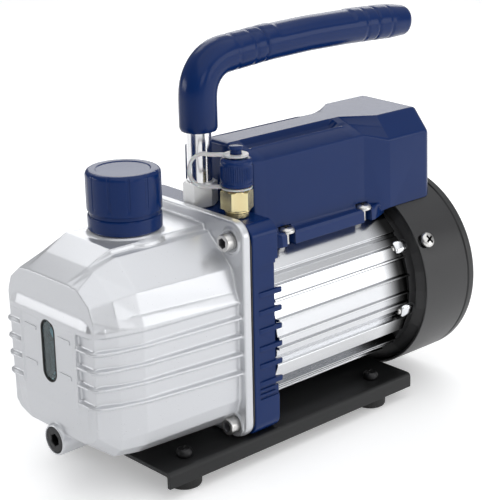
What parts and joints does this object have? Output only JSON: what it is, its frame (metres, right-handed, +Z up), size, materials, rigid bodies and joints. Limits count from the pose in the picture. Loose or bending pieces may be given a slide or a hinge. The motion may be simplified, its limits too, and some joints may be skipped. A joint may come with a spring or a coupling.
{
  "type": "rotary vane vacuum pump",
  "caption": "Oil-sealed rotary vane vacuum pump with finned motor, oil sight glass, capped inlet port and carrying handle on a footed steel base.",
  "frame": {"origin": "middle of the pump's footprint, on the plane its rubber feet stand on", "axes": "+X along the shaft from the oil casing towards the motor, +Y across the pump towards the side away from the inlet fitting, +Z up"},
  "size_m": [0.2786, 0.123, 0.2414],
  "materials": {
    "cast_aluminium": "die-cast, satin, light sparkle",
    "extruded_aluminium": "extruded, bright satin",
    "blue_paint": "dark blue gloss paint",
    "blue_box": "dark blue gloss",
    "blue_plastic": "dark blue, semi-gloss",
    "black_cover": "black, fine texture",
    "black_steel": "black powder coat",
    "black_rubber": "matt black",
    "brass": "machined",
    "chrome": "polished plate",
    "zinc_steel": "zinc-plated",
    "machined_steel": "machined",
    "dark_steel": "black oxide",
    "cast_iron": "machined casting",
    "copper_wire": "enamelled wire",
    "lamination": "stacked sheet",
    "smoked_glass": "clear window over a dark oil chamber",
    "gasket_paper": "fibre gasket",
    "clear_strap": "translucent soft plastic",
    "vane_composite": "dark resin composite",
    "filter_foam": "open foam",
    "red_switch": "gloss"
  },
  "bodies": {
    "pump_body": {"oil_casing": "cast_aluminium", "sight_glass": "smoked_glass", "casing_gasket": "gasket_paper", "casing_screw_1": "zinc_steel", "casing_screw_2": "zinc_steel", "casing_screw_3": "zinc_steel", "casing_screw_4": "zinc_steel", "mist_filter": "filter_foam", "centre_frame": "blue_paint", "inlet_fitting": "brass", "cap_tether": "clear_strap", "handle_tube": "chrome", "handle_nut": "zinc_steel", "handle_grip": "blue_plastic", "pump_cylinder": "cast_iron", "pump_front_plate": "cast_iron", "shaft_seal": "black_rubber", "motor_housing": "extruded_aluminium", "stator_core": "lamination", "stator_winding_front": "copper_wire", "stator_winding_rear": "copper_wire", "front_bearing": "machined_steel", "rear_bearing": "machined_steel", "rear_end_shield": "black_cover", "fan_cover": "black_cover", "fan_cover_screw_1": "zinc_steel", "fan_cover_screw_2": "zinc_steel", "fan_cover_screw_3": "zinc_steel", "electrical_box": "blue_box", "box_screw_1": "zinc_steel", "box_screw_2": "zinc_steel", "box_screw_3": "zinc_steel", "box_screw_4": "zinc_steel", "run_capacitor": "black_cover", "switch_frame": "black_cover", "power_inlet": "black_cover", "base_plate": "black_steel", "rubber_foot_1": "black_rubber", "rubber_foot_2": "black_rubber", "rubber_foot_3": "black_rubber", "rubber_foot_4": "black_rubber", "foot_screw_1": "dark_steel", "foot_screw_2": "dark_steel", "foot_screw_3": "dark_steel", "foot_screw_4": "dark_steel"},
    "rotating_assembly": {"motor_shaft": "machined_steel", "rotor_core": "lamination", "pump_rotor": "machined_steel", "cooling_fan": "black_cover"},
    "vane_a_body": {"vane_a": "vane_composite"},
    "vane_b_body": {"vane_b": "vane_composite"},
    "oil_cap_seal_body": {"oil_cap_seal": "black_rubber"},
    "oil_cap_body": {"oil_cap": "blue_plastic"},
    "inlet_cap_seal_body": {"inlet_cap_seal": "black_rubber"},
    "inlet_cap_body": {"inlet_cap": "blue_plastic"},
    "drain_seal_body": {"drain_plug_seal": "black_rubber"},
    "drain_plug_body": {"drain_plug": "dark_steel"},
    "discharge_valve": {"discharge_reed": "machined_steel"},
    "rocker": {"switch_rocker": "red_switch"}
  },
  "joints": [
    {"name": "shaft_spin", "type": "hinge", "parent": "pump_body", "child": "rotating_assembly", "pos_m": [0, 0, 0.0705], "axis": [1, 0, 0], "continuous": true},
    {"name": "vane_a_slide", "type": "slide", "parent": "rotating_assembly", "child": "vane_a_body", "axis": [0, 1, 0], "range_m": [0, 0.0026]},
    {"name": "vane_b_slide", "type": "slide", "parent": "rotating_assembly", "child": "vane_b_body", "axis": [0, -1, 0], "range_m": [0, 0.0026]},
    {"name": "oil_cap_lift", "type": "slide", "parent": "pump_body", "child": "oil_cap_seal_body", "axis": [0, 0, 1], "range_m": [0, 0.009]},
    {"name": "oil_cap_turn", "type": "hinge", "parent": "oil_cap_seal_body", "child": "oil_cap_body", "pos_m": [-0.08495, 0, 0.1417], "axis": [0, 0, 1], "range_deg": [0, 1080]},
    {"name": "inlet_cap_lift", "type": "slide", "parent": "pump_body", "child": "inlet_cap_seal_body", "axis": [0, 0, 1], "range_m": [0, 0.00762], "deforming": ["cap_tether"]},
    {"name": "inlet_cap_turn", "type": "hinge", "parent": "inlet_cap_seal_body", "child": "inlet_cap_body", "pos_m": [-0.03195, -0.0313, 0.1609], "axis": [0, 0, 1], "range_deg": [0, 2160]},
    {"name": "drain_plug_out", "type": "slide", "parent": "pump_body", "child": "drain_seal_body", "axis": [-1, 0, 0], "range_m": [0, 0.009]},
    {"name": "drain_plug_turn", "type": "hinge", "parent": "drain_seal_body", "child": "drain_plug_body", "pos_m": [-0.13835, 0, 0.0323], "axis": [-1, 0, 0], "range_deg": [0, 2160]},
    {"name": "discharge_valve_flap", "type": "hinge", "parent": "pump_body", "child": "discharge_valve", "pos_m": [-0.06715, 0.009, 0.1008], "axis": [0, -1, 0], "range_deg": [0, 12]},
    {"name": "switch_rock", "type": "hinge", "parent": "pump_body", "child": "rocker", "pos_m": [0.12385, 0.017, 0.1505], "axis": [0, 1, 0], "range_deg": [-8, 8], "stiffness_Nm_per_rad": 0.01}
  ],
  "couplings": [
    {"joint": "oil_cap_lift", "follows": "oil_cap_turn", "m_per_rad": 0.00047746},
    {"joint": "inlet_cap_lift", "follows": "inlet_cap_turn", "m_per_rad": 0.00020213},
    {"joint": "drain_plug_out", "follows": "drain_plug_turn", "m_per_rad": 0.00023873}
  ]
}
